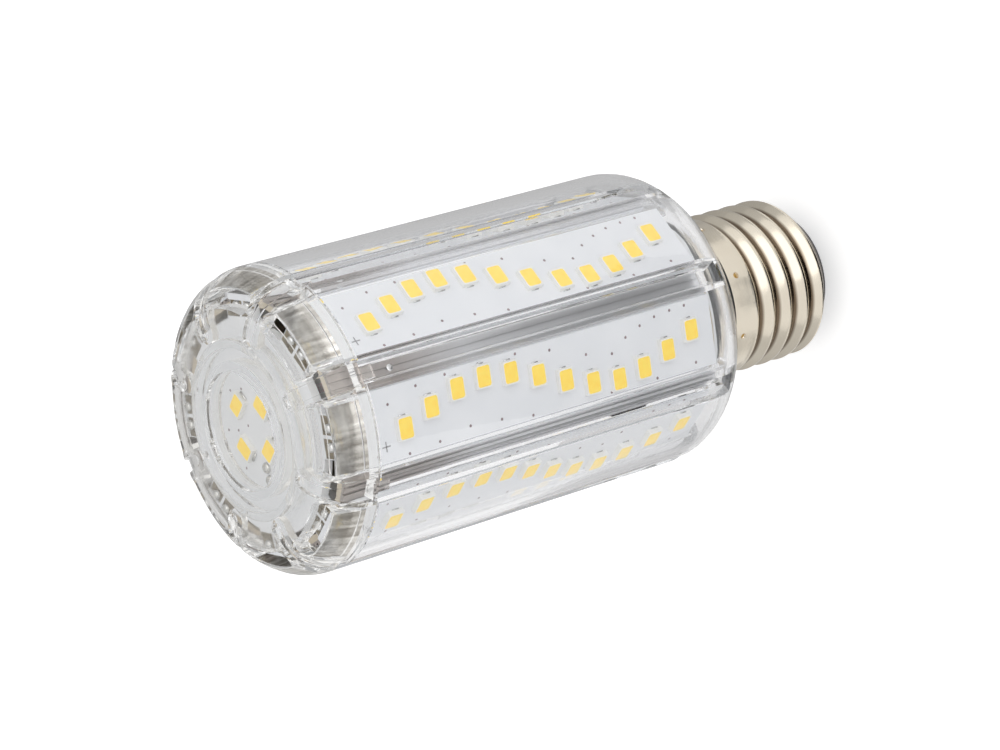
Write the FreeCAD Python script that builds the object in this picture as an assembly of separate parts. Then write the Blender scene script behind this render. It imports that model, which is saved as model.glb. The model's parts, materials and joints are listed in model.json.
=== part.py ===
import FreeCAD, Part
import math
import os

os.makedirs("parts", exist_ok=True)

# Corn lamp with a medium Edison screw base, millimetres. The origin is the tip of the centre
# contact, +Z runs up the lamp axis to the clear front cap and +X is the first LED panel's normal.

# Fits
FIT = 0.1

# Screw base
THREAD_R = 13.2
THREAD_DEPTH = 1.05
THREAD_PITCH = 3.629
THREAD_START = 13.54
THREAD_SECTIONS = 42
THREAD_STEPS = 12
COLLAR_SETBACK = 0.2
COLLAR_HEIGHT = 4.2
SHELL_T = 0.45
SHELL_LOW = 4.0
SHELL_HEIGHT = 21.2
SHELL_CURL = 2.4
DIMPLE_R = 0.5
DIMPLE_DROP = 2.1
CONTACT_R = 4.8
CONTACT_FACE_R = 3.4
CONTACT_T = 1.5
CONTACT_STEM_R = 2.8
INSULATOR_SEAT = 2.0

# Black neck
NECK_SHOW = 4.65
NECK_WALL = 1.6
NECK_PLUG = 5.2
NECK_FLANGE = 2.0
NECK_FLANGE_T = 1.4

# Clear shell
BODY_R = 23.7
BODY_STRAIGHT = 65.0
CAP_STRAIGHT = 1.0
SHOULDER_R = 7.65
WALL = 1.5
GROOVE_DEPTH = 2.8
GROOVE_WALL = 1.1
GROOVE_HALF = 1.1
GROOVE_FLARE = 0.28
GROOVE_RUN_OUT = 3.0
SEAM_LINE = 0.3

# Front cap
CHANNEL_DEPTH = 0.6
CHANNEL_WALL = 2.0
CHANNEL_SIDE = 0.6
CHANNEL_REACH = 8.2
VENT_SETBACK = 2.2
VENT_WIDTH = 3.0
VENT_DRAFT = 0.8
VENT_HALF = 13.5
VENT_WALL = 1.0
VENT_SKIRT = 1.5
WINDOW_R = 9.2
WINDOW_SINK = 0.8
RING_T = 1.4
SNAP_LENGTH = 2.8
SNAP_SETBACK = 1.6

# Panels
PANELS = 8
PANEL_STEP = 360.0 / PANELS

# Aluminium core
CORE_GAP = 0.2
CORE_CORNER = 0.5
CORE_WALL = 1.6
CORE_RISE = 3.5
SCORE_W = 0.4
SCORE_DEPTH = 0.3
SCORE_PITCH = 1.1

# Strip boards and their LEDs
BOARD_T = 1.0
BOARD_GAP = 0.55
BOARD_OVERRUN = 1.0
BOARD_RISE = 2.6
TAB_SHOULDER = 1.95
TAB_RISE = 0.3
LED_COUNT = 12
LED_FIRST = 6.3
LED_LAST = 3.7
LED_EDGE = 0.5
LED_TURN = 36.0
LED_PEAK = 4
LED_W = 3.5
LED_L = 2.8
LED_T = 0.8
LENS_RIM = 0.3
LENS_T = 0.25

# Front board
FRONT_T = 1.2
FRONT_MARGIN = 2.7
FRONT_LEDS = 4
FRONT_LED_R = 4.7
FRONT_LED_START = 48.0
SOLDER_R = 0.8
SOLDER_GAP = 2.9

# Driver
DRIVER_T = 1.6
DRIVER_LENGTH = 58.0
CAN_R = 5.0
CAN_LENGTH = 16.0
COIL_W = 12.0
COIL_T = 9.0
RECTIFIER_W = 4.8
RECTIFIER_T = 2.6
DRIVER_SPACING = 4.0
LEAD_R = 0.7
LEAD_GAP = 6.0

Z_AXIS = FreeCAD.Vector(0, 0, 1)
ORIGIN = FreeCAD.Vector(0, 0, 0)

# Heights and radii that follow from the sizes above
rim_z = SHELL_LOW + SHELL_HEIGHT
back_z = rim_z + NECK_SHOW
shoulder_low_z = back_z + SHOULDER_R
seam_z = shoulder_low_z + BODY_STRAIGHT
shoulder_high_z = seam_z + CAP_STRAIGHT
front_z = shoulder_high_z + SHOULDER_R
shoulder_mid_r = BODY_R - SHOULDER_R
groove_floor_r = BODY_R - GROOVE_DEPTH
core_corner_r = groove_floor_r - GROOVE_WALL - CORE_GAP
core_r = core_corner_r - CORE_CORNER
core_top_z = seam_z + CORE_RISE
board_face_r = core_r + BOARD_T
half_step = math.radians(PANEL_STEP / 2)
ridge_half = GROOVE_HALF + GROOVE_WALL
board_w = 2 * (board_face_r * math.tan(half_step) - (ridge_half + BOARD_GAP) / math.cos(half_step))
tab_w = board_w - 2 * TAB_SHOULDER
led_swing = board_w / 2 - LED_W / 2 - LED_EDGE
front_face_z = core_top_z + FRONT_T
collar_r = THREAD_R - COLLAR_SETBACK
bore_r = THREAD_R - THREAD_DEPTH - SHELL_T
mouth_r = bore_r - SHELL_CURL / 2
neck_r = collar_r + SHELL_T
neck_in_r = bore_r - NECK_WALL
plug_low_z = rim_z - NECK_PLUG


def turned(shape, angle):
    copy = shape.copy()
    copy.rotate(ORIGIN, Z_AXIS, angle)
    return copy


def around(shape, start=0.0, count=PANELS):
    return [turned(shape, start + 360.0 / count * k) for k in range(count)]


def revolved(edges):
    return Part.Face(Part.Wire(edges)).revolve(ORIGIN, Z_AXIS, 360)


def turning(points):
    """Solid turned about the lamp axis from a closed outline of (radius, height) points."""
    corners = [FreeCAD.Vector(r, 0, z) for r, z in points]
    return revolved([Part.makeLine(a, b) for a, b in zip(corners, corners[1:] + corners[:1])])


def tube(r_out, r_in, z0, z1):
    return turning([(r_in, z0), (r_out, z0), (r_out, z1), (r_in, z1)])


def rod(r, x, y, z0, z1):
    return Part.makeCylinder(r, z1 - z0, FreeCAD.Vector(x, y, z0))


def box(x0, x1, half_y, z0, z1):
    return Part.makeBox(x1 - x0, 2 * half_y, z1 - z0, FreeCAD.Vector(x0, -half_y, z0))


def prism(points, z0, z1):
    corners = [FreeCAD.Vector(x, y, z0) for x, y in points]
    return Part.Face(Part.makePolygon(corners + corners[:1])).extrude(FreeCAD.Vector(0, 0, z1 - z0))


def capsule(inset):
    """Turned solid lying a constant distance inside the clear shell's outer skin."""
    corner = SHOULDER_R - inset
    slant = corner * math.sqrt(0.5)
    p = [FreeCAD.Vector(r, 0, z) for r, z in (
        (0, shoulder_high_z + corner),
        (shoulder_mid_r, shoulder_high_z + corner),
        (shoulder_mid_r + slant, shoulder_high_z + slant),
        (shoulder_mid_r + corner, shoulder_high_z),
        (shoulder_mid_r + corner, shoulder_low_z),
        (shoulder_mid_r + slant, shoulder_low_z - slant),
        (shoulder_mid_r, shoulder_low_z - corner),
        (0, shoulder_low_z - corner))]
    return revolved([
        Part.makeLine(p[0], p[1]),
        Part.Arc(p[1], p[2], p[3]).toShape(),
        Part.makeLine(p[3], p[4]),
        Part.Arc(p[4], p[5], p[6]).toShape(),
        Part.makeLine(p[6], p[7]),
        Part.makeLine(p[7], p[0])])


def slots(r_in, grow, z0, z1):
    """Radial slots between the panels, round at the inner end and flared outside the groove floor."""
    near = GROOVE_HALF + grow
    r_out = BODY_R + WALL
    far = near + GROOVE_FLARE * (r_out - groove_floor_r)
    stem = box(r_in, r_out, near, z0, z1)
    flare = prism([(groove_floor_r, -near), (r_out, -far), (r_out, far), (groove_floor_r, near)], z0, z1)
    one = stem.fuse([flare, rod(near, r_in, 0, z0, z1)]).removeSplitter()
    copies = around(one, PANEL_STEP / 2)
    return copies[0].multiFuse(copies[1:])


def kidney(r_in, r_out, half_angle, draft, z0, z1):
    """Curved column with round ends on the first panel, wider at the top by the draft on each side."""
    a = math.radians(half_angle)
    mid = (r_in + r_out) / 2
    end = (r_out - r_in) / 2
    reach = 2 * r_out
    ring = turning([(r_in, z0), (r_out, z0), (r_out + draft, z1), (r_in - draft, z1)])
    wedge = prism([(0, 0), (reach, -reach * math.tan(a)), (reach, reach * math.tan(a))], z0, z1)
    ends = []
    for side in (-a, a):
        foot = FreeCAD.Vector(mid * math.cos(side), mid * math.sin(side), z0)
        if draft:
            ends.append(Part.makeCone(end, end + draft, z1 - z0, foot))
        else:
            ends.append(Part.makeCylinder(end, z1 - z0, foot))
    return ring.common(wedge).fuse(ends).removeSplitter()


def eased(x):
    x = min(1.0, max(0.0, x))
    return x * x * (3 - 2 * x)


def save(shape, name):
    shape.exportStep("parts/" + name + ".step")


skin = capsule(0)
reach = 2 * BODY_R
below = Part.makeBox(2 * reach, 2 * reach, seam_z, FreeCAD.Vector(-reach, -reach, 0))
above = below.translated(FreeCAD.Vector(0, 0, seam_z))

# Clear housing: lobes over the panels, grooves between them that stop short of the back
groove_low_z = shoulder_low_z - GROOVE_RUN_OUT
grooves = slots(groove_floor_r - FIT, 0, groove_low_z, front_z).cut(capsule(GROOVE_DEPTH))
ridges = slots(groove_floor_r - GROOVE_WALL - FIT, GROOVE_WALL, groove_low_z - GROOVE_WALL, seam_z)
ridges = ridges.cut(capsule(GROOVE_DEPTH + GROOVE_WALL))
cavity = capsule(WALL).common(below).cut(ridges)
housing = skin.common(below).cut(grooves).cut(cavity).cut(rod(neck_r + FIT, 0, 0, 0, back_z + 2 * WALL))
save(housing, "clear_housing")

# Clear front cap: channels, drafted vents with a deep outer wall, sunk window and its ring wall
vent_out_r = BODY_R - VENT_SETBACK - VENT_DRAFT
vent_in_r = vent_out_r - VENT_WIDTH + 2 * VENT_DRAFT
channel_in_r = BODY_R - CHANNEL_REACH
channels = slots(channel_in_r, 0, 0, front_z + WALL).cut(capsule(CHANNEL_DEPTH))
beds = slots(channel_in_r, CHANNEL_SIDE, seam_z, front_z).cut(capsule(CHANNEL_DEPTH + CHANNEL_WALL))
cap = skin.common(above).cut(capsule(WALL).common(above).cut(beds))
wall_half = VENT_HALF + 2
skirt = kidney(vent_out_r, BODY_R - WALL / 2, wall_half, 0, seam_z + VENT_SKIRT, front_z)
inner_wall = kidney(vent_in_r - VENT_WALL, vent_out_r, wall_half, 0, front_face_z + SOLDER_R + FIT, front_z)
walls = around(skirt.fuse(inner_wall).common(capsule(WALL / 3)))
window_low_z = front_z - WINDOW_SINK - WALL
window = rod(WINDOW_R + RING_T, 0, 0, window_low_z, front_z)
ring_wall = tube(WINDOW_R + RING_T, WINDOW_R, front_face_z + FIT, window_low_z)
cap = cap.multiFuse(walls + [window, ring_wall])
vent = kidney(vent_in_r, vent_out_r, VENT_HALF, VENT_DRAFT, seam_z, front_z)
seam_line = tube(BODY_R + WALL, BODY_R - SEAM_LINE, seam_z, seam_z + SEAM_LINE)
cap = cap.cut(channels).cut(around(vent)).cut(rod(WINDOW_R, 0, 0, front_z - WINDOW_SINK, front_z + WALL))
cap = cap.cut(seam_line)
snap_r = BODY_R - SNAP_SETBACK
snap = box(groove_floor_r + FIT, snap_r, GROOVE_HALF - FIT, seam_z - SNAP_LENGTH, shoulder_high_z)
cap = cap.multiFuse(around(snap, PANEL_STEP / 2)).removeSplitter()
save(cap, "front_cap")

# Aluminium core: eight-sided tube, its corners cut to flats that are scored along their length and
# its lower edge turned down to clear the housing
half_side = (core_corner_r - core_r * math.cos(half_step)) / math.sin(half_step)
corners = []
for k in range(PANELS):
    angle = math.radians(PANEL_STEP * k)
    for y in (-half_side, half_side):
        corners.append((core_r * math.cos(angle) - y * math.sin(angle),
                        core_r * math.sin(angle) + y * math.cos(angle)))
shrink = 1 - CORE_WALL / core_r
core_inset = GROOVE_DEPTH + GROOVE_WALL + CORE_GAP
turned_end = prism(corners, back_z, shoulder_low_z).common(capsule(core_inset))
core = prism(corners, shoulder_low_z, core_top_z).fuse(turned_end).removeSplitter()
core = core.cut(prism([(x * shrink, y * shrink) for x, y in corners], back_z, core_top_z))
score = box(core_corner_r - SCORE_DEPTH, BODY_R, SCORE_W / 2, back_z, core_top_z)
scores = [score.translated(FreeCAD.Vector(0, SCORE_PITCH * i, 0)) for i in (-1, 0, 1)]
core = core.cut(around(Part.makeCompound(scores), PANEL_STEP / 2))
save(core, "heat_sink")

# Strip boards, each with a wave of LEDs
board_low_z = shoulder_low_z - BOARD_OVERRUN
strip = box(core_r, board_face_r, board_w / 2, board_low_z, seam_z + BOARD_RISE)
tab = box(core_r, board_face_r, tab_w / 2, board_low_z, front_face_z + TAB_RISE)
strip = strip.fuse(tab).removeSplitter()
lens_top = board_face_r + LED_T
package = box(board_face_r, lens_top, LED_W / 2, -LED_L / 2, LED_L / 2)
lens = box(lens_top - LENS_T, lens_top, LED_W / 2 - LENS_RIM, LENS_RIM - LED_L / 2, LED_L / 2 - LENS_RIM)
package = package.cut(lens)
led_pitch = (BODY_STRAIGHT - LED_FIRST - LED_LAST) / (LED_COUNT - 1)
packages = []
lenses = []
for i in range(LED_COUNT):
    wave = led_swing * math.cos(math.radians(LED_TURN * (i + 1 - LED_PEAK)))
    move = FreeCAD.Vector(0, wave, seam_z - LED_FIRST - led_pitch * i)
    packages.append(package.translated(move))
    lenses.append(lens.translated(move))
strips = around(strip)
package_rows = around(Part.makeCompound(packages))
lens_rows = around(Part.makeCompound(lenses))
for k in range(PANELS):
    save(strips[k], "strip_board_%d" % (k + 1))
    save(package_rows[k], "led_packages_%d" % (k + 1))
    save(lens_rows[k], "led_phosphor_%d" % (k + 1))

# Front board with an arm to each strip board, its LEDs and the solder joints at the arms
disc = rod(core_r - FRONT_MARGIN, 0, 0, core_top_z, front_face_z)
front_board = disc.multiFuse(around(box(0, core_r, tab_w / 2, core_top_z, front_face_z))).removeSplitter()
save(front_board, "front_board")
flat_package = box(-LED_L / 2, LED_L / 2, LED_W / 2, 0, LED_T)
flat_lens = box(LENS_RIM - LED_L / 2, LED_L / 2 - LENS_RIM, LED_W / 2 - LENS_RIM, LED_T - LENS_T, LED_T)
flat_package = flat_package.cut(flat_lens)
seat = FreeCAD.Vector(FRONT_LED_R, 0, front_face_z)
front_packages = around(flat_package.translated(seat), FRONT_LED_START, FRONT_LEDS)
front_lenses = around(flat_lens.translated(seat), FRONT_LED_START, FRONT_LEDS)
save(Part.makeCompound(front_packages), "front_led_packages")
save(Part.makeCompound(front_lenses), "front_led_phosphor")
dome = Part.makeSphere(SOLDER_R, ORIGIN, Z_AXIS, 0, 90, 360)
joints = []
for y in (-SOLDER_GAP / 2, SOLDER_GAP / 2):
    joints += around(dome.translated(FreeCAD.Vector(core_r - SOLDER_R, y, front_face_z)))
save(Part.makeCompound(joints), "solder_joints")

# Screw shell: a right-hand round thread cut square to its axis is close to a circle set off
# centre, and the offset turns once in a pitch. It fades into the collar and into the curled end.
mean_r = THREAD_R - THREAD_DEPTH / 2
thread_top_z = rim_z - COLLAR_HEIGHT
end_r = mouth_r + SHELL_T
sections = []
for j in range(THREAD_SECTIONS + 1):
    z = SHELL_LOW + SHELL_HEIGHT * j / THREAD_SECTIONS
    top = eased((thread_top_z - z) / (THREAD_PITCH / 2))
    low = math.sqrt(eased((z - SHELL_LOW) / SHELL_CURL))
    shift = THREAD_DEPTH / 2 * top * low
    radius = end_r + (collar_r + (mean_r - collar_r) * top - end_r) * low
    lead_angle = 2 * math.pi * (z - THREAD_START) / THREAD_PITCH
    points = []
    for i in range(THREAD_STEPS):
        theta = 2 * math.pi * i / THREAD_STEPS
        r = radius + shift * math.cos(theta - lead_angle)
        points.append(FreeCAD.Vector(r * math.cos(theta), r * math.sin(theta), z))
    curve = Part.BSplineCurve()
    curve.interpolate(points, PeriodicFlag=True)
    sections.append(Part.Wire(curve.toShape()))
screw = Part.makeLoft(sections, True, False)
screw = screw.cut(rod(bore_r, 0, 0, SHELL_LOW + SHELL_CURL, rim_z + FIT).fuse(rod(mouth_r, 0, 0, 0, rim_z)))
dimple = Part.makeSphere(DIMPLE_R, FreeCAD.Vector(collar_r + FIT, 0, rim_z - DIMPLE_DROP))
screw = screw.cut(around(dimple, PANEL_STEP / 2))
save(screw, "screw_shell")

# Insulator and centre contact
seat_z = SHELL_LOW + INSULATOR_SEAT
dome_h = SHELL_LOW - CONTACT_T
edge = mouth_r - CONTACT_R
insulator = turning([
    (CONTACT_STEM_R, seat_z), (mouth_r, seat_z), (mouth_r, SHELL_LOW - 0.1 * dome_h),
    (mouth_r - 0.06 * edge, CONTACT_T + 0.6 * dome_h), (mouth_r - 0.2 * edge, CONTACT_T + 0.33 * dome_h),
    (mouth_r - 0.5 * edge, CONTACT_T + 0.1 * dome_h), (mouth_r - 0.9 * edge, CONTACT_T),
    (CONTACT_STEM_R, CONTACT_T)])
save(insulator, "base_insulator")
contact = turning([
    (0, 0), (CONTACT_FACE_R, 0), (CONTACT_R - 0.25 * CONTACT_T, 0.25 * CONTACT_T),
    (CONTACT_R, 0.6 * CONTACT_T), (CONTACT_R, CONTACT_T), (CONTACT_STEM_R, CONTACT_T),
    (CONTACT_STEM_R, seat_z), (0, seat_z)])
save(contact, "centre_contact")

# Black neck plugged into the shell, and the white ring that holds it behind the housing's back wall
flange_z = back_z + WALL
neck = turning([
    (neck_in_r, plug_low_z), (bore_r, plug_low_z), (bore_r, rim_z), (neck_r, rim_z), (neck_r, flange_z),
    (neck_in_r, flange_z)])
save(neck, "neck_collar")
ring = tube(neck_r + NECK_FLANGE, neck_in_r, flange_z, flange_z + NECK_FLANGE_T)
save(ring.common(cavity), "retaining_ring")

# Driver board held in the neck, its larger components and the leads
driver_half = DRIVER_T / 2
driver_top_z = plug_low_z + DRIVER_LENGTH
coil_z = flange_z + DRIVER_SPACING
can_z = coil_z + COIL_W + DRIVER_SPACING
save(box(-driver_half, driver_half, neck_in_r - FIT, plug_low_z, driver_top_z), "driver_board")
save(rod(CAN_R, driver_half + CAN_R, 0, can_z, can_z + CAN_LENGTH), "driver_capacitor")
save(box(driver_half, driver_half + COIL_T, COIL_W / 2, coil_z, coil_z + COIL_W), "driver_transformer")
rectifier = box(-driver_half - RECTIFIER_T, -driver_half, RECTIFIER_W / 2, coil_z, coil_z + RECTIFIER_W)
save(rectifier, "driver_rectifier")
feeds = [rod(LEAD_R, 0, y, driver_top_z, core_top_z) for y in (-LEAD_GAP / 2, LEAD_GAP / 2)]
save(Part.makeCompound(feeds), "feed_leads")
save(rod(LEAD_R, 0, 0, seat_z, plug_low_z), "contact_lead")
shell_lead_y = neck_in_r - 2 * LEAD_R
shell_lead_z = plug_low_z - 2 * LEAD_R
drop = rod(LEAD_R, 0, shell_lead_y, shell_lead_z, plug_low_z)
bend = FreeCAD.Vector(0, shell_lead_y, shell_lead_z)
side_run = Part.makeCylinder(LEAD_R, bore_r - shell_lead_y - LEAD_R / 2, bend, FreeCAD.Vector(0, 1, 0))
save(drop.fuse([side_run, Part.makeSphere(LEAD_R, bend)]), "shell_lead")
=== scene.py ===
import json
import math

import bpy
from mathutils import Matrix, Vector


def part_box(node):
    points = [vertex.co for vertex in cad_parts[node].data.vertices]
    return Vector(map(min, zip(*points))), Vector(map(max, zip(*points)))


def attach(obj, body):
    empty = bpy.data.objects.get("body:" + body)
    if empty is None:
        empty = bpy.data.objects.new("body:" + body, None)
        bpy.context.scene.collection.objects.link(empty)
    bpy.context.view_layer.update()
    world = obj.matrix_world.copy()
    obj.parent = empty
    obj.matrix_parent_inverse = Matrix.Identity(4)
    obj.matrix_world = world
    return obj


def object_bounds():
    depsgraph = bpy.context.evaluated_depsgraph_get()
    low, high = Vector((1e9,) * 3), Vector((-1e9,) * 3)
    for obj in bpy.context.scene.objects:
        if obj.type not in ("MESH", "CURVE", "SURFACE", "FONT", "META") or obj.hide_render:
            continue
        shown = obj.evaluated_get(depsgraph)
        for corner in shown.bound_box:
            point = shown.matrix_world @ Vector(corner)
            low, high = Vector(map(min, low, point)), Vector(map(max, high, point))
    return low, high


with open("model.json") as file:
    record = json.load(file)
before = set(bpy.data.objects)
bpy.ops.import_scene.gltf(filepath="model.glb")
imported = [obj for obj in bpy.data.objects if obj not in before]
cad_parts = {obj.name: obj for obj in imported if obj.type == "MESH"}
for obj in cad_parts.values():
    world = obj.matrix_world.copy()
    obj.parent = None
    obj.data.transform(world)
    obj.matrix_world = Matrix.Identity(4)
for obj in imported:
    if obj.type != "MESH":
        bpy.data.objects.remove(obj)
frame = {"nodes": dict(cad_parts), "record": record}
cad_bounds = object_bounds()
nodes = frame["nodes"]
scene = bpy.context.scene

MM = 0.001
PANELS = 8
STEP = 2 * math.pi / PANELS
SIDES = (-1, 1)
AXIS = Vector((0, 0, 1))

# Sizes read from the frame
housing_low, housing_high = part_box("clear_housing")
shell_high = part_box("screw_shell")[1]
board_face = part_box("strip_board_1")[1][0]
board_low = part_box("strip_board_1")[0][2]
front_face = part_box("front_board")[1][2]
core_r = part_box("heat_sink")[1][0]
cap_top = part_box("front_cap")[1][2]
led_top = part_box("led_phosphor_1")[1][0]
front_led_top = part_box("front_led_phosphor")[1][2]
rear_z = housing_low[2]
seam_z = housing_high[2]
crest_r = shell_high[0]
rim_z = shell_high[2]

# Camera, in the lamp's frame
CAMERA_AT = Vector((0.4384, 0.1109, 0.2752 + seam_z))
CAMERA_RIGHT = Vector((0.601, -0.136, -0.7876)).normalized()
CAMERA_UP = Vector((-0.0848, 0.969, -0.2321)).normalized()
CAMERA_LENS = 127.7
CAMERA_SENSOR = 36.0
CAMERA_CLIP = 0.01

# Plated holes of a strip board: distance below the seam and offset across the strip, in millimetres
VIAS = [
    (4.2, 2.9), (9.5, 4.4), (14.9, 4.8), (21.0, 4.9), (28.0, 4.8), (34.4, 3.9), (41.1, 1.7),
    (46.0, 0.7), (49.0, 2.5), (52.0, 3.6), (55.0, 4.3), (58.1, 4.6), (61.1, 4.7),
    (1.3, -4.1), (6.8, -4.9), (12.4, -4.5), (18.2, -3.6), (24.0, -4.0), (29.8, -4.8),
    (45.0, -4.9), (54.1, -4.9), (62.0, -4.3)]
VIA_R = 0.23 * MM
VIA_RISE = 0.03 * MM

# Plus sign of a strip board, placed as its plated holes are
PLUS_AT = (2.9, -3.0)
PLUS_ARM = 0.75 * MM
PLUS_HALF = 0.1 * MM
PLUS_RISE = 0.02 * MM

# Plated holes and hand-soldered joints of the front board, across and up, in millimetres
FRONT_VIAS = [(-5.7, 5.1), (-2.6, 5.6), (-7.8, -1.2), (-5.1, -1.0), (-2.2, 0.0), (-4.5, -6.8), (4.4, 0.0)]
FRONT_VIA_R = 0.22 * MM
FRONT_JOINTS = [(1.3, -6.1), (1.75, -8.05)]
JOINT_R = 0.9 * MM
JOINT_RISE = 0.7 * MM

# LEDs of a strip: their number, and their length along it
LED_COUNT = 12
LED_LENGTH = 2.8 * MM

# Two LEDs of the front board are further apart than this turn, in radians
FRONT_LED_GAP = 0.55

# Rounded top of an LED's window, and the share of its corner radius that the bevel leaves
WINDOW_HALF_WIDTH = 1.54 * MM
WINDOW_HALF_LENGTH = 1.19 * MM
WINDOW_CORNER = 0.4 * MM
WINDOW_RISE = 0.03 * MM
WINDOW_BEVEL = 0.8

# Legs at both ends of an LED: half width, half length and height, on the strips and on the front board
LEG_AT = 1.75 * MM
LEG_SIZE = (0.16 * MM, 0.6 * MM, 0.14 * MM)
FRONT_LEG_SIZE = (0.4 * MM, 0.8 * MM, 0.2 * MM)

# Punch marks of the collar
PUNCH_R = 0.42 * MM
PUNCH_RISE = 0.16 * MM
PUNCH_IN = 0.5 * MM
PUNCH_BELOW_RIM = 2.1 * MM

# Rings on the core's corners
CORNER_OUT = 0.5 * MM
RIVET_R = 0.55 * MM
RIVET_RISE = 0.1 * MM
RIVET_BELOW_SEAM = 7.0 * MM

# Bare pads at the ends of the front board's arms, and how near its end an arm's width is read
PAD_INNER = 2.6 * MM
PAD_OUTER = 0.1 * MM
PAD_APART = 0.3 * MM
PAD_EDGE = 0.15 * MM
PAD_RISE = 0.03 * MM
ARM_END = 0.05 * MM

# Radius of the vents' outer walls at the seam and at the front face
VENT_WALL_LOW = 20.7 * MM
VENT_WALL_HIGH = 21.5 * MM

# Band on those walls where a reflection is painted: a mirror with painted light and dark streaks
BAND_DEPTH = 0.3 * MM
BAND_HALF = 0.36 * MM
BAND_TURN = math.radians(13.5)
BAND_ABOVE_SEAM = 1.6 * MM
BAND_BELOW_TOP = 2.6 * MM

# Hazy ring of the cap's face, between the rib and the vents, and how softly it starts and ends
FACE_LOW = 14.2 * MM
FACE_HIGH = 17.9 * MM
FACE_RISES = 0.5 * MM
FACE_FALLS = 0.8 * MM

# Rib under the cap's face, and the thickness of that face
RIB_IN = 12.5 * MM
RIB_OUT = 13.9 * MM
RIB_EDGE = 0.25 * MM
RIB_GAP = 0.3 * MM
RIB_TOP_GAP = RIB_EDGE / 8
RIB_SHARP = math.radians(60)
CAP_WALL = 1.5 * MM

# Haze of the housing and sealant on the neck, above the housing's rear end
HAZE_START = 4 * MM
HAZE_END = 9 * MM
SEAL_START = 0.8 * MM
SEAL_END = 1.6 * MM

# Core: its stain below the seam, the end of its dull stretch above the strips' rear ends, and its skin
STAIN_START = 20 * MM
STAIN_END = 8 * MM
DULL_END = 2 * MM
CORE_SKIN = 0.1 * MM

# Valleys of the thread, below its crest, dark brown from dirt and painted shade
VALLEY_DEEP = 1.02 * MM
VALLEY_SHALLOW = 0.75 * MM

# Polycarbonate, and the depth past which a ray goes straight through it
PLASTIC_IOR = 1.585
DEEP_RAY = 9.0

# Bounces of a ray, and surfaces that it may go straight through
BOUNCES = 20
CLEAR_BOUNCES = 32

# Share by which grain makes plain plastic and metal smoother or rougher
ROUGH_SPREAD = 0.2

# Noise lies mostly between these two
NOISE_LOW = 0.3
NOISE_HIGH = 0.7

# Scales of texture coordinates: as they are, and flat on the plane across the lamp axis
EVEN = (1, 1, 1)
FLAT = (1, 1, 0)


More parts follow.
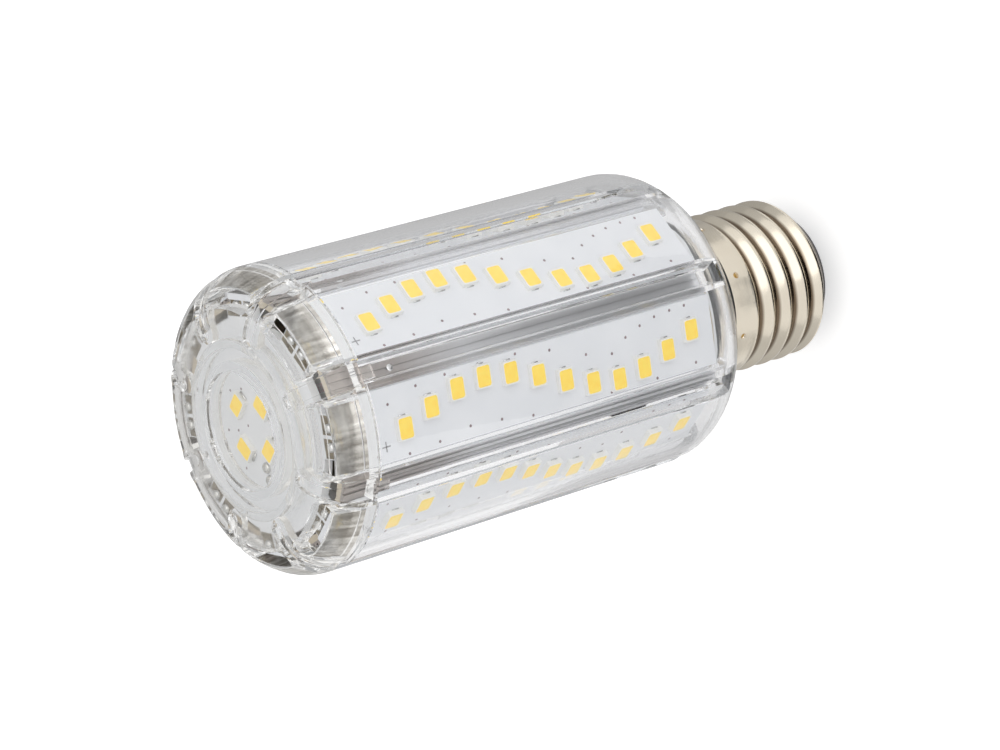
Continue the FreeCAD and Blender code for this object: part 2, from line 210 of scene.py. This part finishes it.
class Shader:
    """Small helper that builds one node material around a Principled shader."""

    def __init__(self, name, color, roughness, metallic=0.0):
        self.material = bpy.data.materials.new(name)
        self.material.use_nodes = True
        self.tree = self.material.node_tree
        self.bsdf = self.tree.nodes["Principled BSDF"]
        self.output = self.tree.nodes["Material Output"]
        self.bsdf.inputs["Base Color"].default_value = (*color, 1.0)
        self.bsdf.inputs["Roughness"].default_value = roughness
        self.bsdf.inputs["Metallic"].default_value = metallic

    def add(self, kind, **values):
        """New node with values for its sockets or its settings."""
        node = self.tree.nodes.new(kind)
        for key, value in values.items():
            if key in node.inputs:
                node.inputs[key].default_value = value
            else:
                setattr(node, key, value)
        return node

    def link(self, source, target):
        self.tree.links.new(source, target)

    def place(self, scale):
        """Object coordinates times a scale."""
        coords = self.add("ShaderNodeTexCoord")
        mapping = self.add("ShaderNodeMapping", Scale=scale)
        self.link(coords.outputs["Object"], mapping.inputs["Vector"])
        return mapping.outputs["Vector"]

    def axes(self):
        """Sockets X, Y and Z of the object coordinates."""
        node = self.add("ShaderNodeSeparateXYZ")
        self.link(self.place(EVEN), node.inputs["Vector"])
        return node.outputs

    def radius(self):
        """Distance from the lamp axis."""
        node = self.add("ShaderNodeVectorMath", operation="LENGTH")
        self.link(self.place(FLAT), node.inputs[0])
        return node.outputs["Value"]

    def noise(self, scale, detail=4.0, stretch=EVEN):
        node = self.add("ShaderNodeTexNoise", Scale=scale, Detail=detail)
        self.link(self.place(stretch), node.inputs["Vector"])
        return node.outputs["Fac"]

    def remap(self, value, from_low, from_high, low, high):
        """Value that goes from low to high as the one given goes between its own two limits."""
        node = self.add("ShaderNodeMapRange")
        sockets = ("From Min", "From Max", "To Min", "To Max")
        for socket, number in zip(sockets, (from_low, from_high, low, high)):
            node.inputs[socket].default_value = number
        self.link(value, node.inputs["Value"])
        return node.outputs["Result"]

    def spread(self, noise, low, high):
        """Noise stretched so that it runs from low to high."""
        return self.remap(noise, NOISE_LOW, NOISE_HIGH, low, high)

    def math(self, operation, first, second=None):
        """Result of a sum with a socket and a second socket or number."""
        node = self.add("ShaderNodeMath", operation=operation)
        self.link(first, node.inputs[0])
        if isinstance(second, (int, float)):
            node.inputs[1].default_value = second
        elif second:
            self.link(second, node.inputs[1])
        return node.outputs["Value"]

    def fold(self, operation, *values):
        """One result from several sockets, such as their product or the largest of them."""
        result = values[0]
        for value in values[1:]:
            result = self.math(operation, result, value)
        return result

    def mix(self, value, first, second):
        """Surface that goes from the first to the second as value goes from 0 to 1."""
        node = self.add("ShaderNodeMixShader")
        for socket, source in zip(node.inputs, (value, first, second)):
            self.link(source, socket)
        return node.outputs["Shader"]

    def surface(self, socket):
        self.link(socket, self.output.inputs["Surface"])

    def ramp(self, value, dark, light):
        """Colour between dark and light by noise."""
        ramp = self.add("ShaderNodeValToRGB")
        low, high = ramp.color_ramp.elements
        low.position = NOISE_LOW
        high.position = NOISE_HIGH
        low.color = (*dark, 1.0)
        high.color = (*light, 1.0)
        self.link(value, ramp.inputs["Fac"])
        return ramp.outputs["Color"]

    def blend(self, value, color, other):
        """Colour that goes from a socket's colour to a plain one as value goes from 0 to 1."""
        node = self.add("ShaderNodeMixRGB", Color2=(*other, 1.0))
        self.link(value, node.inputs["Fac"])
        self.link(color, node.inputs["Color1"])
        return node.outputs["Color"]

    def color(self, socket):
        self.link(socket, self.bsdf.inputs["Base Color"])

    def rough(self, value, low, high):
        """Roughness from low to high by noise."""
        self.link(self.spread(value, low, high), self.bsdf.inputs["Roughness"])

    def haze(self, amount):
        """Adds an amount to the roughness that rough has linked."""
        target = self.bsdf.inputs["Roughness"]
        clear = target.links[0].from_socket
        self.link(self.math("ADD", clear, amount), target)

    def bump(self, value, strength, distance):
        node = self.add("ShaderNodeBump", Strength=strength, Distance=distance)
        self.link(value, node.inputs["Height"])
        self.link(node.outputs["Normal"], self.bsdf.inputs["Normal"])


def clear_plastic(name, tint):
    """Polycarbonate that lets shadow rays, diffuse rays and very deep rays straight through."""
    look = Shader(name, tint, 0.01)
    look.bsdf.inputs["Transmission Weight"].default_value = 1.0
    look.bsdf.inputs["IOR"].default_value = PLASTIC_IOR
    look.bump(look.noise(220.0, detail=2.0), strength=0.6, distance=0.02 * MM)
    look.rough(look.noise(900.0), 0.0, 0.03)
    path = look.add("ShaderNodeLightPath").outputs
    deep = look.math("GREATER_THAN", path["Ray Depth"], DEEP_RAY)
    through = look.add("ShaderNodeBsdfTransparent", Color=(0.94, 0.945, 0.95, 1.0))
    straight = look.fold("MAXIMUM", path["Is Shadow Ray"], path["Is Diffuse Ray"], deep)
    look.surface(look.mix(straight, look.bsdf.outputs["BSDF"], through.outputs["BSDF"]))
    return look


def clear_housing():
    """Clear plastic that is a little hazy round its rear shoulder."""
    look = clear_plastic("clear_housing", (0.98, 0.982, 0.99))
    look.haze(look.remap(look.axes()["Z"], rear_z + HAZE_START, rear_z + HAZE_END, 0.14, 0.0))
    return look.material


def painted_reflection_band(look):
    """1 on a band of the vents' steep outer walls, where a reflection is painted, and 0 elsewhere."""
    axes = look.axes()
    turn = look.math("WRAP", look.math("ARCTAN2", axes["Y"], axes["X"]), STEP / 2)
    turn.node.inputs[2].default_value = -STEP / 2
    wall = look.remap(axes["Z"], seam_z, cap_top, VENT_WALL_LOW, VENT_WALL_HIGH)
    depth = look.math("SUBTRACT", wall, look.radius())
    away = look.math("ABSOLUTE", look.math("SUBTRACT", depth, BAND_DEPTH))
    near = look.math("LESS_THAN", away, BAND_HALF)
    within = look.math("LESS_THAN", look.math("ABSOLUTE", turn), BAND_TURN)
    above = look.math("GREATER_THAN", axes["Z"], seam_z + BAND_ABOVE_SEAM)
    below = look.math("LESS_THAN", axes["Z"], cap_top - BAND_BELOW_TOP)
    return look.fold("MULTIPLY", near, within, above, below)


def clear_cap():
    """Clear plastic, hazy between rib and vents. A band of its steep vent walls has a painted reflection:
    a mirror with painted light and dark streaks.
    """
    look = clear_plastic("clear_cap", (0.984, 0.975, 0.955))
    # Painted reflection: a mirror with painted light and dark streaks, in a band on the vents' outer walls
    painted_reflection = look.add("ShaderNodeBsdfAnisotropic", Roughness=0.22)
    painted_streaks = look.noise(1400.0, stretch=(1, 1, 0.06))
    look.link(look.ramp(painted_streaks, (0.3, 0.275, 0.24), (0.93, 0.915, 0.88)), painted_reflection.inputs["Color"])
    clear = look.output.inputs["Surface"].links[0].from_socket
    look.surface(look.mix(painted_reflection_band(look), clear, painted_reflection.outputs["BSDF"]))
    radius = look.radius()
    rises = look.remap(radius, FACE_LOW, FACE_LOW + FACE_RISES, 0.0, 1.0)
    falls = look.remap(radius, FACE_HIGH - FACE_FALLS, FACE_HIGH, 1.0, 0.0)
    look.haze(look.fold("MULTIPLY", rises, falls, look.spread(look.noise(150.0), 0.05, 0.13)))
    return look.material


def core_metal():
    """Scored metal, stained toward the front, dull past the strips' rear ends and pale inside."""
    look = Shader("core_metal", (0.75, 0.75, 0.76), 0.32, 0.85)
    height = look.axes()["Z"]
    lines = look.noise(900.0, detail=3.0, stretch=(1, 1, 0.004))
    metal = look.ramp(lines, (0.6, 0.6, 0.61), (0.88, 0.88, 0.89))
    stain = look.remap(height, seam_z - STAIN_START, seam_z - STAIN_END, 0.0, 0.75)
    stained = look.blend(stain, metal, (0.27, 0.22, 0.19))
    inside = look.math("LESS_THAN", look.radius(), core_r - CORE_SKIN)
    look.color(look.blend(inside, stained, (0.6, 0.52, 0.4)))
    bare = look.remap(height, board_low, board_low + DULL_END, 0.1, 0.85)
    outside = look.math("ABSOLUTE", look.math("SUBTRACT", inside, 1.0))
    look.link(look.math("MULTIPLY", bare, outside), look.bsdf.inputs["Metallic"])
    look.bump(lines, strength=0.4, distance=0.05 * MM)
    return look.material


def board_white():
    look = Shader("board_white", (0.86, 0.87, 0.9), 0.38)
    mottle = look.noise(160.0)
    look.color(look.ramp(mottle, (0.85, 0.86, 0.88), (0.9, 0.905, 0.92)))
    look.bump(look.noise(1500.0), strength=0.3, distance=0.02 * MM)
    look.rough(mottle, 0.3, 0.45)
    return look.material


def led_body():
    look = Shader("led_body", (0.92, 0.91, 0.87), 0.4)
    look.color(look.ramp(look.noise(700.0), (0.89, 0.875, 0.83), (0.94, 0.93, 0.9)))
    look.bump(look.noise(3000.0), strength=0.3, distance=0.01 * MM)
    return look.material


def phosphor():
    """Yellow that glows a little, as light scattered in it does."""
    look = Shader("phosphor", (0.98, 0.7, 0.08), 0.4)
    look.color(look.ramp(look.noise(1200.0), (0.98, 0.66, 0.06), (0.99, 0.74, 0.11)))
    look.bsdf.inputs["Emission Color"].default_value = (1.0, 0.66, 0.07, 1.0)
    look.bsdf.inputs["Emission Strength"].default_value = 0.22
    look.bsdf.inputs["Subsurface Weight"].default_value = 0.2
    look.bsdf.inputs["Subsurface Radius"].default_value = (1.0 * MM, 0.7 * MM, 0.2 * MM)
    look.bump(look.noise(4000.0), strength=0.3, distance=0.01 * MM)
    return look.material


def solder():
    look = Shader("solder", (0.72, 0.72, 0.71), 0.18, 1.0)
    look.color(look.ramp(look.noise(1500.0), (0.58, 0.58, 0.57), (0.78, 0.78, 0.77)))
    look.bump(look.noise(900.0), strength=0.5, distance=0.1 * MM)
    look.rough(look.noise(1500.0), 0.1, 0.3)
    return look.material


def nickel():
    """Satin plate with turning lines, dark brown in the valleys of the thread: partly dirt, partly painted
    shade.
    """
    look = Shader("nickel", (0.73, 0.66, 0.55), 0.2, 1.0)
    plate = look.ramp(look.noise(120.0), (0.745, 0.675, 0.56), (0.815, 0.75, 0.635))
    # Painted shade, partly dirt: the plate blends to dark brown in the valleys of the thread
    valley_shade_and_dirt = look.remap(look.radius(), crest_r - VALLEY_DEEP, crest_r - VALLEY_SHALLOW, 0.9, 0.0)
    look.color(look.blend(valley_shade_and_dirt, plate, (0.11, 0.065, 0.03)))
    lines = look.noise(700.0, detail=3.0, stretch=(0.03, 0.03, 1.0))
    look.bump(lines, strength=0.5, distance=0.02 * MM)
    look.rough(look.noise(500.0), 0.17, 0.27)
    return look.material


def neck_plastic():
    """Black outside the housing, and pale with sealant inside it."""
    look = Shader("neck_plastic", (0.006, 0.006, 0.006), 0.6)
    grain = look.noise(900.0)
    black = look.ramp(grain, (0.003, 0.003, 0.003), (0.008, 0.008, 0.008))
    sealed = look.remap(look.axes()["Z"], rear_z + SEAL_START, rear_z + SEAL_END, 0.0, 1.0)
    look.color(look.blend(sealed, black, (0.82, 0.83, 0.85)))
    look.bump(look.noise(2500.0), strength=0.4, distance=0.03 * MM)
    look.rough(grain, 0.5, 0.7)
    return look.material


def plain_plastic(name, dark, light, roughness):
    look = Shader(name, light, roughness)
    grain = look.noise(900.0)
    look.color(look.ramp(grain, dark, light))
    look.bump(look.noise(2500.0), strength=0.4, distance=0.03 * MM)
    look.rough(grain, roughness * (1 - ROUGH_SPREAD), roughness * (1 + ROUGH_SPREAD))
    return look.material


def plain_metal(name, dark, light, roughness):
    look = Shader(name, light, roughness, 1.0)
    grain = look.noise(600.0)
    look.color(look.ramp(grain, dark, light))
    look.bump(look.noise(1800.0), strength=0.4, distance=0.02 * MM)
    look.rough(grain, roughness * (1 - ROUGH_SPREAD), roughness * (1 + ROUGH_SPREAD))
    return look.material


# Looks of the record's slots
LOOKS = {
    "clear_plastic": clear_plastic("clear_plastic", (0.985, 0.988, 0.99)).material,
    "core_metal": core_metal(),
    "board_white": board_white(),
    "led_body": led_body(),
    "phosphor": phosphor(),
    "solder": solder(),
    "nickel": nickel(),
    "insulator": plain_plastic("insulator", (0.008, 0.008, 0.01), (0.02, 0.02, 0.025), 0.25),
    "contact_metal": plain_metal("contact_metal", (0.6, 0.5, 0.3), (0.75, 0.66, 0.44), 0.25),
    "neck_plastic": neck_plastic(),
    "ring_white": plain_plastic("ring_white", (0.86, 0.87, 0.88), (0.9, 0.9, 0.91), 0.5),
    "driver_green": plain_plastic("driver_green", (0.03, 0.16, 0.05), (0.05, 0.22, 0.08), 0.4),
    "can_dark": plain_plastic("can_dark", (0.01, 0.01, 0.02), (0.03, 0.03, 0.05), 0.3),
    "coil_tape": plain_plastic("coil_tape", (0.5, 0.34, 0.04), (0.62, 0.44, 0.07), 0.35),
    "chip_black": plain_plastic("chip_black", (0.01, 0.01, 0.01), (0.025, 0.025, 0.025), 0.5),
    "lead_sleeve": plain_plastic("lead_sleeve", (0.4, 0.02, 0.015), (0.5, 0.03, 0.02), 0.4),
}
for part in frame["record"]["subparts"]:
    materials = nodes[part["node"]].data.materials
    materials.clear()
    materials.append(LOOKS[part["material_slot"]])

# The two clear shells have looks of their own
nodes["clear_housing"].data.materials[0] = clear_housing()
nodes["front_cap"].data.materials[0] = clear_cap()

# Looks of the small forms
via_look = plain_plastic("via_copper", (0.2, 0.13, 0.14), (0.34, 0.24, 0.25), 0.45)
ink_look = plain_plastic("grey_ink", (0.3, 0.29, 0.3), (0.38, 0.37, 0.38), 0.5)
pad_look = plain_metal("pad_tin", (0.2, 0.17, 0.13), (0.42, 0.37, 0.29), 0.3)
brass_look = plain_metal("punch_brass", (0.4, 0.24, 0.07), (0.62, 0.42, 0.16), 0.3)


class Forms:
    """Collects small solids for one piece. Each is laid out in a frame of its own and then placed."""

    def __init__(self):
        self.verts = []
        self.faces = []

    def add(self, verts, faces, place):
        start = len(self.verts)
        self.verts += [tuple(place @ Vector(vert)) for vert in verts]
        self.faces += [tuple(start + index for index in face) for face in faces]

    def block(self, low, high, place):
        """Box between two corners."""
        (x0, y0, z0), (x1, y1, z1) = low, high
        verts = [(x, y, z) for x in (x0, x1) for y in (y0, y1) for z in (z0, z1)]
        faces = [(0, 1, 3, 2), (4, 6, 7, 5), (0, 4, 5, 1), (2, 3, 7, 6), (0, 2, 6, 4), (1, 5, 7, 3)]
        self.add(verts, faces, place)

    def slab(self, size, place):
        """Block on a board that faces +X, from its half width, half length and height."""
        half_y, half_z, height = size
        self.block((0, -half_y, -half_z), (height, half_y, half_z), place)

    def dome(self, radius, height, place, rows=2, around=12):
        """Low dome along +X, open below."""
        verts = [(height, 0, 0)]
        for row in range(1, rows + 1):
            tilt = row * math.pi / 2 / rows
            out = radius * math.sin(tilt)
            for i in range(around):
                turn = 2 * math.pi * i / around
                verts.append((height * math.cos(tilt), out * math.cos(turn), out * math.sin(turn)))
        faces = [(0, 1 + i, 1 + (i + 1) % around) for i in range(around)]
        for row in range(rows - 1):
            for i in range(around):
                here = 1 + row * around + i
                ahead = 1 + row * around + (i + 1) % around
                faces.append((here, here + around, ahead + around, ahead))
        self.add(verts, faces, place)

    def pillow(self, place, steps=4):
        """Rounded top of an LED's window, which faces +X and has a bevelled edge."""
        rim = []
        for quarter in range(4):
            diagonal = math.pi / 2 * quarter + math.pi / 4
            y = math.copysign(WINDOW_HALF_WIDTH - WINDOW_CORNER, math.cos(diagonal))
            z = math.copysign(WINDOW_HALF_LENGTH - WINDOW_CORNER, math.sin(diagonal))
            for i in range(steps + 1):
                turn = math.pi / 2 * (quarter + i / steps)
                rim.append((y, z, math.cos(turn), math.sin(turn)))
        verts = []
        for height, corner in ((0, WINDOW_CORNER), (WINDOW_RISE, WINDOW_CORNER * WINDOW_BEVEL)):
            verts += [(height, y + corner * across, z + corner * along) for y, z, across, along in rim]
        count = len(rim)
        faces = [(i, (i + 1) % count, count + (i + 1) % count, count + i) for i in range(count)]
        faces.append(tuple(range(count, 2 * count)))
        self.add(verts, faces, place)

    def lathe(self, profile, around=144):
        """Closed ring turned about the lamp axis from its (radius, height) corners."""
        count = len(profile)
        turns = [2 * math.pi * i / around for i in range(around)]
        verts = [(r * math.cos(turn), r * math.sin(turn), z) for turn in turns for r, z in profile]
        faces = []
        for i in range(around):
            here = i * count
            ahead = (i + 1) % around * count
            for j in range(count):
                k = (j + 1) % count
                faces.append((here + j, ahead + j, ahead + k, here + k))
        self.add(verts, faces, Matrix.Identity(4))

    def piece(self, name, material, slot_name):
        """The collected solids as one piece, smooth on triangles and on solder."""
        data = bpy.data.meshes.new(name)
        data.from_pydata(self.verts, [], self.faces)
        data.update()
        data.materials.append(material)
        for face in data.polygons:
            face.use_smooth = len(face.vertices) == 3 or material is LOOKS["solder"]
        piece = bpy.data.objects.new(name, data)
        scene.collection.objects.link(piece)
        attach(piece, "root")
        return piece


def at_panel(panel, x, y, z):
    """Place on a panel, given as on the first one, with +X outward."""
    return Matrix.Rotation(STEP * panel, 4, "Z") @ Matrix.Translation((x, y, z))


def at_front(x, y, turn=0.0):
    """Place on the front board, with +X up the lamp axis."""
    tip = Matrix.Rotation(-math.pi / 2, 4, "Y")
    return Matrix.Translation((x, y, front_face)) @ Matrix.Rotation(turn, 4, "Z") @ tip


def corners_of(name):
    """Corners of a node's mesh."""
    node = nodes[name]
    return [node.matrix_world @ vertex.co for vertex in node.data.vertices]


def groups(points, gap):
    """Splits (key, point) pairs, sorted by key, where the key jumps by more than gap."""
    points = sorted(points, key=lambda pair: pair[0])
    found = [[points[0][1]]]
    for (before, _), (key, point) in zip(points, points[1:]):
        if key - before > gap:
            found.append([])
        found[-1].append(point)
    return found


def middle(points):
    """Middle of the box around some points."""
    low = Vector([min(point[i] for point in points) for i in range(3)])
    high = Vector([max(point[i] for point in points) for i in range(3)])
    return (low + high) / 2


# Places of the LEDs on the first strip and on the front board
strip_corners = corners_of("led_packages_1")
first_z = min(point.z for point in strip_corners) + LED_LENGTH / 2
last_z = max(point.z for point in strip_corners) - LED_LENGTH / 2
pitch = (last_z - first_z) / (LED_COUNT - 1)
led_places = []
for number in range(LED_COUNT):
    led_places.append(middle([
        point for point in strip_corners if round((point.z - first_z) / pitch) == number]))
front_corners = corners_of("front_led_packages")
front_turns = [(math.atan2(point.y, point.x) % (2 * math.pi), point) for point in front_corners]
front_places = [middle(group) for group in groups(front_turns, FRONT_LED_GAP)]

# Plated holes, polarity marks, LED windows and LED legs of the strip boards
vias = Forms()
marks = Forms()
legs = Forms()
windows = Forms()
for panel in range(PANELS):
    for below, across in VIAS:
        vias.dome(VIA_R, VIA_RISE, at_panel(panel, board_face, across * MM, seam_z - below * MM))
    spot = at_panel(panel, board_face, PLUS_AT[1] * MM, seam_z - PLUS_AT[0] * MM)
    marks.slab((PLUS_ARM, PLUS_HALF, PLUS_RISE), spot)
    marks.slab((PLUS_HALF, PLUS_ARM, PLUS_RISE), spot)
    for led in led_places:
        windows.pillow(at_panel(panel, led_top, led.y, led.z))
        for side in SIDES:
            legs.slab(LEG_SIZE, at_panel(panel, board_face, led.y + side * LEG_AT, led.z))

# Plated holes, LED windows, LED legs and hand-soldered joints of the front board
blobs = Forms()
window_lift = Matrix.Translation((front_led_top - front_face, 0, 0))
for led in front_places:
    spot = at_front(led.x, led.y, math.atan2(led.y, led.x))
    windows.pillow(spot @ window_lift)
    for side in SIDES:
        legs.slab(FRONT_LEG_SIZE, spot @ Matrix.Translation((0, side * LEG_AT, 0)))
for x, y in FRONT_VIAS:
    vias.dome(FRONT_VIA_R, VIA_RISE, at_front(x * MM, y * MM))
for x, y in FRONT_JOINTS:
    blobs.dome(JOINT_R, JOINT_RISE, at_front(x * MM, y * MM), rows=5, around=20)

# Punch marks of the collar and the rings on the core's corners
punches = Forms()
rivets = Forms()
for panel in range(PANELS):
    between = panel + 0.5
    punch_spot = at_panel(between, crest_r - PUNCH_IN, 0, rim_z - PUNCH_BELOW_RIM)
    punches.dome(PUNCH_R, PUNCH_RISE, punch_spot, rows=4, around=14)
    rivet_spot = at_panel(between, core_r + CORNER_OUT, 0, seam_z - RIVET_BELOW_SEAM)
    rivets.dome(RIVET_R, RIVET_RISE, rivet_spot, rows=3, around=16)

# Bare tinned pads under the joints at the ends of the front board's arms
arm_half = max(point.y for point in corners_of("front_board") if point.x > core_r - ARM_END)
pads = Forms()
for panel in range(PANELS):
    spot = at_panel(panel, core_r, 0, front_face)
    for side in SIDES:
        left, right = sorted((side * PAD_APART, side * (arm_half - PAD_EDGE)))
        pads.block((-PAD_INNER, left, 0), (-PAD_OUTER, right, PAD_RISE), spot)

# Clear rib that stands under the cap's face, around the window
rib_low = front_face + RIB_GAP
rib_high = cap_top - CAP_WALL - RIB_TOP_GAP
rib = Forms()
rib.lathe([
    (RIB_IN + RIB_EDGE, rib_low),
    (RIB_OUT - RIB_EDGE, rib_low),
    (RIB_OUT, rib_low + RIB_EDGE),
    (RIB_OUT, rib_high - RIB_EDGE),
    (RIB_OUT - RIB_EDGE, rib_high),
    (RIB_IN + RIB_EDGE, rib_high),
    (RIB_IN, rib_high - RIB_EDGE),
    (RIB_IN, rib_low + RIB_EDGE),
])
cap_rib = rib.piece("cap_rib", LOOKS["clear_plastic"], "clear_plastic")
cap_rib.data.shade_smooth()
cap_rib.data.set_sharp_from_angle(angle=RIB_SHARP)

vias.piece("board_vias", via_look, "contact_metal")
marks.piece("polarity_marks", ink_look, "chip_black")
legs.piece("led_legs", LOOKS["solder"], "solder")
pads.piece("front_pads", pad_look, "contact_metal")
windows.piece("led_windows", LOOKS["phosphor"], "phosphor")
blobs.piece("front_solder", LOOKS["solder"], "solder")
punches.piece("collar_punches", brass_look, "contact_metal")
rivets.piece("core_rivets", LOOKS["solder"], "core_metal")

# Camera
camera_data = bpy.data.cameras.new("camera")
camera_data.lens = CAMERA_LENS
camera_data.sensor_width = CAMERA_SENSOR
camera_data.clip_start = CAMERA_CLIP
camera = bpy.data.objects.new("camera", camera_data)
scene.collection.objects.link(camera)
back = CAMERA_RIGHT.cross(CAMERA_UP).normalized()
up = back.cross(CAMERA_RIGHT)
camera_turn = Matrix((CAMERA_RIGHT, up, back)).transposed().to_4x4()
camera.matrix_world = Matrix.Translation(CAMERA_AT) @ camera_turn
scene.camera = camera


def scaled(tree, value, low, high):
    """Value that goes from low to high as the one given goes from 0 to 1."""
    node = tree.nodes.new("ShaderNodeMapRange")
    node.inputs["To Min"].default_value = low
    node.inputs["To Max"].default_value = high
    tree.links.new(value, node.inputs["Value"])
    return node.outputs["Result"]


def lifted(tree, given, seen, mirrored):
    """Strength for the light given, and the higher ones for the camera and for mirrors and glass."""
    path = tree.nodes.new("ShaderNodeLightPath")
    result = scaled(tree, path.outputs["Is Camera Ray"], given, seen)
    for ray in ("Is Glossy Ray", "Is Transmission Ray"):
        node = tree.nodes.new("ShaderNodeMath")
        node.operation = "MAXIMUM"
        tree.links.new(result, node.inputs[0])
        tree.links.new(scaled(tree, path.outputs[ray], given, mirrored), node.inputs[1])
        result = node.outputs["Value"]
    return result


def floor_white():
    """Pale floor, lifted to white where it is seen, and still darker in the object's shadow."""
    look = Shader("floor_white", (0.85, 0.85, 0.85), 0.9)
    glow = look.add("ShaderNodeEmission")
    look.link(lifted(look.tree, 0.0, 0.5, 0.2), glow.inputs["Strength"])
    both = look.add("ShaderNodeAddShader")
    look.link(look.bsdf.outputs["BSDF"], both.inputs[0])
    look.link(glow.outputs["Emission"], both.inputs[1])
    look.surface(both.outputs["Shader"])
    return look.material


# Floor
FLOOR_SIZE = 6.0
bpy.ops.mesh.primitive_plane_add(size=FLOOR_SIZE, location=(0, 0, cad_bounds[0][2]))
floor = bpy.context.object
floor.name = "floor"
floor.data.materials.append(floor_white())

# World
world = bpy.data.worlds.new("studio")
scene.world = world
world.use_nodes = True
sky = world.node_tree.nodes["Background"]
sky.inputs["Color"].default_value = (1.0, 1.0, 1.0, 1.0)
world.node_tree.links.new(lifted(world.node_tree, 0.8, 1.0, 0.95), sky.inputs["Strength"])


def card_look(name, near, far):
    """Plain glow whose brightness runs from near to far along X."""
    look = bpy.data.materials.new(name)
    look.use_nodes = True
    tree = look.node_tree
    coords = tree.nodes.new("ShaderNodeTexCoord")
    axes = tree.nodes.new("ShaderNodeSeparateXYZ")
    tree.links.new(coords.outputs["Object"], axes.inputs["Vector"])
    paint = tree.nodes.new("ShaderNodeEmission")
    tree.links.new(scaled(tree, axes.outputs["X"], near, far), paint.inputs["Strength"])
    tree.links.new(paint.outputs["Emission"], tree.nodes["Material Output"].inputs["Surface"])
    return look


def card(name, corner, along, across, shade, mirrors=True, through=True):
    """Flat card, shaded along its first edge, that only mirrors or clear plastic show."""
    data = bpy.data.meshes.new(name)
    data.from_pydata([(0, 0, 0), (1, 0, 0), (1, 1, 0), (0, 1, 0)], [], [(0, 1, 2, 3)])
    data.materials.append(card_look(name, *shade))
    board = bpy.data.objects.new(name, data)
    scene.collection.objects.link(board)
    normal = along.cross(across).normalized()
    board.matrix_world = Matrix.Translation(corner) @ Matrix((along, across, normal)).transposed().to_4x4()
    board.visible_camera = False
    board.visible_diffuse = False
    board.visible_shadow = False
    board.visible_glossy = mirrors
    board.visible_transmission = through


# Grey cards above and below the lamp in the picture, edge on to the camera, for the rims of its plastic
BODY_CARD_OUT = 34 * MM
BODY_CARD_BACK = 30 * MM
BODY_CARD_DEPTH = 200 * MM
BODY_CARD_HEIGHT = 250 * MM
view = -back
beside = view.cross(AXIS).normalized()
for name, side, shade in (("card_above", 1, (0.56, 0.15)), ("card_below", -1, (0.65, 0.25))):
    corner = beside * side * BODY_CARD_OUT - (view + AXIS) * BODY_CARD_BACK
    card(name, corner, view * BODY_CARD_DEPTH, AXIS * BODY_CARD_HEIGHT, shade)

# Card to the left of the cap's rim
LEFT_RIM = Vector((-19.5, 4.4, 110)) * MM
LEFT_CARD_OUT = 12 * MM
LEFT_CARD_BACK = 30 * MM
LEFT_CARD_DEPTH = 180 * MM
LEFT_CARD_HEIGHT = 100 * MM
corner = LEFT_RIM - CAMERA_RIGHT * LEFT_CARD_OUT - view * LEFT_CARD_BACK - up * LEFT_CARD_HEIGHT / 2
card("card_left", corner, view * LEFT_CARD_DEPTH, up * LEFT_CARD_HEIGHT, (0.7, 0.25))

# Smaller cards close to the screw shell, which only its metal shows
NECK_CARD_OUT = 16.5 * MM
NECK_CARD_BACK = 8 * MM
NECK_CARD_DEPTH = 50 * MM
NECK_CARD_HEIGHT = 26 * MM
for name, side, shade in (("card_neck_above", 1, (0.45, 0.12)), ("card_neck_below", -1, (0.6, 0.2))):
    corner = beside * side * NECK_CARD_OUT - view * NECK_CARD_BACK
    card(name, corner, view * NECK_CARD_DEPTH, AXIS * NECK_CARD_HEIGHT, shade, through=False)

# Card on the floor in front of the lamp, which only the clear plastic shows
FRONT_CARD_CORNER = Vector((50, -70, 0.5)) * MM
FRONT_CARD_SIZE = 140 * MM
front_along = Vector((FRONT_CARD_SIZE, 0, 0))
front_across = Vector((0, FRONT_CARD_SIZE, 0))
card("card_front", FRONT_CARD_CORNER, front_along, front_across, (0.05, 0.2), mirrors=False)

# Dark card on the floor beside the screw shell, which only its metal shows
BASE_CARD_CORNER = Vector((12.4, -11, 0.6)) * MM
BASE_CARD_DEPTH = 24.5 * MM
BASE_CARD_WIDTH = 23 * MM
BASE_CARD_TURN = math.radians(4)
base_turn = Matrix.Rotation(BASE_CARD_TURN, 3, "Z")
base_along = base_turn @ Vector((BASE_CARD_DEPTH, 0, 0))
base_across = base_turn @ Vector((0, BASE_CARD_WIDTH, 0))
card("card_base", base_turn @ BASE_CARD_CORNER, base_along, base_across, (0.0, 0.02), through=False)

# Key light, above the camera's line to the middle of the lamp
KEY_TARGET = Vector((0, 0, 60)) * MM
KEY_UP = 0.25
KEY_BACK = 0.75
KEY_SIZE = 1.0
KEY_POWER = 2.2
key_data = bpy.data.lights.new("key", "AREA")
key_data.shape = "RECTANGLE"
key_data.size = KEY_SIZE
key_data.size_y = KEY_SIZE
key_data.energy = KEY_POWER
key = bpy.data.objects.new("key", key_data)
scene.collection.objects.link(key)
key.location = KEY_TARGET + up * KEY_UP + back * KEY_BACK
key.rotation_euler = (KEY_TARGET - key.location).to_track_quat("-Z", "Y").to_euler()

scene.cycles.max_bounces = BOUNCES
scene.cycles.transmission_bounces = BOUNCES
scene.cycles.glossy_bounces = BOUNCES
scene.cycles.transparent_max_bounces = CLEAR_BOUNCES
scene.view_settings.view_transform = "Standard"
